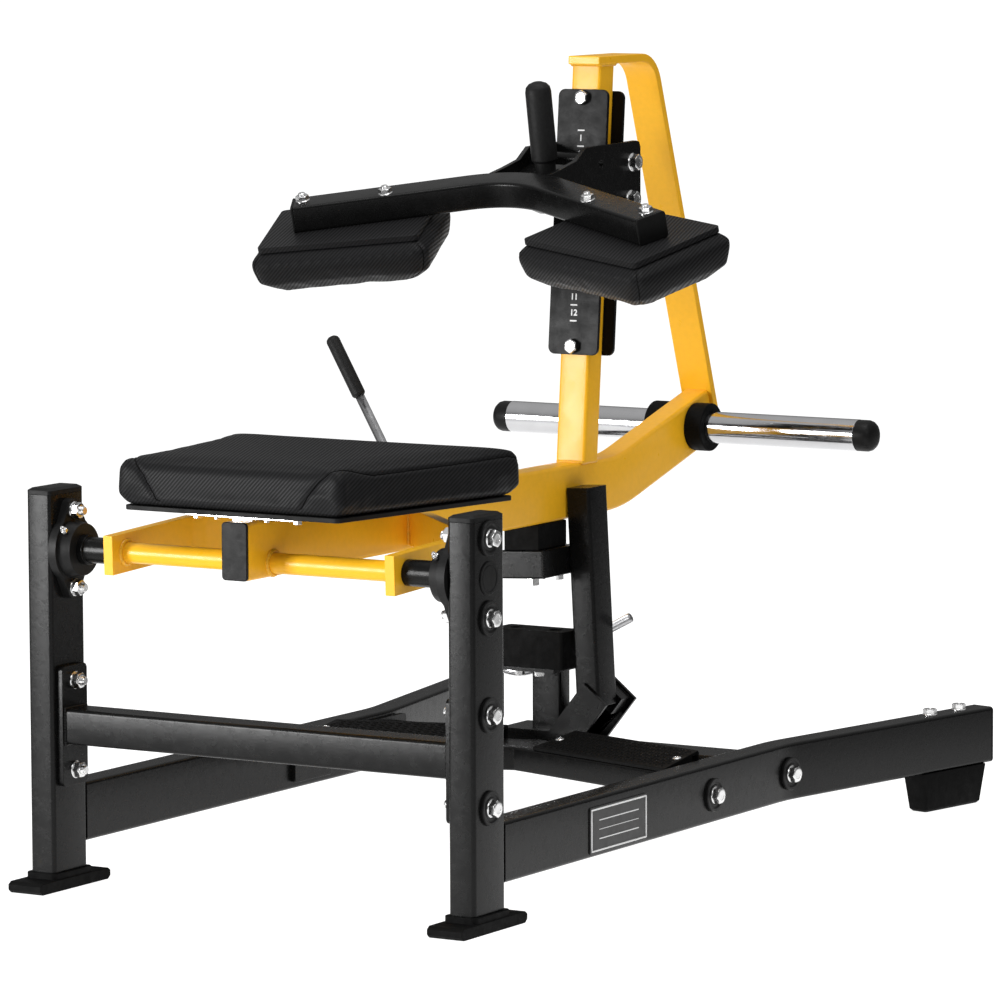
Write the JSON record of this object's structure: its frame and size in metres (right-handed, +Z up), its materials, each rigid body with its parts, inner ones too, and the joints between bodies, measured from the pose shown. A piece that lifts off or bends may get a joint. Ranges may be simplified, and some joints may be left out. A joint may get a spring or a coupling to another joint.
{
  "type": "seated calf raise machine",
  "caption": "Plate-loaded seated calf raise: pivoting seat arm with weight horns, sliding thigh pad carriage, foot treads and swing-away prop.",
  "frame": {"origin": "floor level, in the middle of the overall width and length", "axes": "+X across the machine, towards the right in the picture; +Y along the machine from the seat end to the weight horns; +Z up"},
  "size_m": [0.951, 1.4656, 1.1832],
  "materials": {
    "frame_paint": "satin black powder coat",
    "arm_paint": "satin yellow powder coat",
    "chrome": "polished",
    "zinc": "bright zinc",
    "washer": "black cup washers with bright bolts",
    "rubber": "matte",
    "plastic": "fine grain",
    "tread": "raised grip pattern",
    "housing": "black painted casting",
    "board": "black backing",
    "vinyl": "black vinyl with fine diagonal ribs",
    "grip": "soft grip",
    "roller": "nylon sleeve",
    "badge": "plain plate with a light border"
  },
  "bodies": {
    "frame": {"upright_l": "frame_paint", "upright_r": "frame_paint", "upright_caps": "plastic", "foot_front_l": "rubber", "foot_front_r": "rubber", "cross_front": "frame_paint", "rail_l": "frame_paint", "rail_r": "frame_paint", "rail_caps": "plastic", "foot_rear_l": "rubber", "foot_rear_r": "rubber", "tread_beam": "frame_paint", "tread_l": "tread", "tread_r": "tread", "tread_screws": "zinc", "rear_beam": "frame_paint", "stop_post": "frame_paint", "stop_block": "rubber", "bearing_l": "housing", "bearing_r": "housing", "bolts_upright": "washer", "bolts_rail": "washer", "bolts_inner": "zinc", "badge_plate": "badge"},
    "arm": {"arm_spine": "arm_paint", "arm_spine_cap": "plastic", "arm_shaft": "arm_paint", "arm_collars": "housing", "arm_bar_l": "arm_paint", "arm_bar_r": "arm_paint", "arm_post": "arm_paint", "arm_strap": "arm_paint", "rack_front": "frame_paint", "rack_rear": "frame_paint", "rack_bolts": "zinc", "horn_tube": "chrome", "horn_collars": "rubber", "horn_caps": "plastic", "seat_board": "board", "seat_cushion": "vinyl", "seat_bracket": "zinc"},
    "carriage": {"carriage_plate_l": "frame_paint", "carriage_plate_r": "frame_paint", "carriage_arm": "frame_paint", "carriage_caps": "plastic", "carriage_web": "frame_paint", "carriage_grip": "grip", "carriage_rollers": "roller", "carriage_bolts": "zinc", "pad_board_l": "board", "pad_board_r": "board", "pad_cushion_l": "vinyl", "pad_cushion_r": "vinyl"},
    "prop": {"prop_post": "frame_paint", "prop_plates": "frame_paint", "prop_bracket": "frame_paint", "prop_rubber": "rubber", "prop_pin": "zinc", "lever_rod": "zinc", "lever_grip": "grip"}
  },
  "joints": [
    {"name": "arm_pivot", "type": "hinge", "parent": "frame", "child": "arm", "pos_m": [0, -0.64627, 0.4975], "axis": [1, 0, 0], "range_deg": [0, 14]},
    {"name": "carriage_slide", "type": "slide", "parent": "arm", "child": "carriage", "axis": [0, 0.0872, 0.9962], "range_m": [-0.15, 0.06]},
    {"name": "prop_pivot", "type": "hinge", "parent": "frame", "child": "prop", "pos_m": [-0.007, 0.20673, 0.107], "axis": [0, 1, 0], "range_deg": [0, 14]}
  ]
}
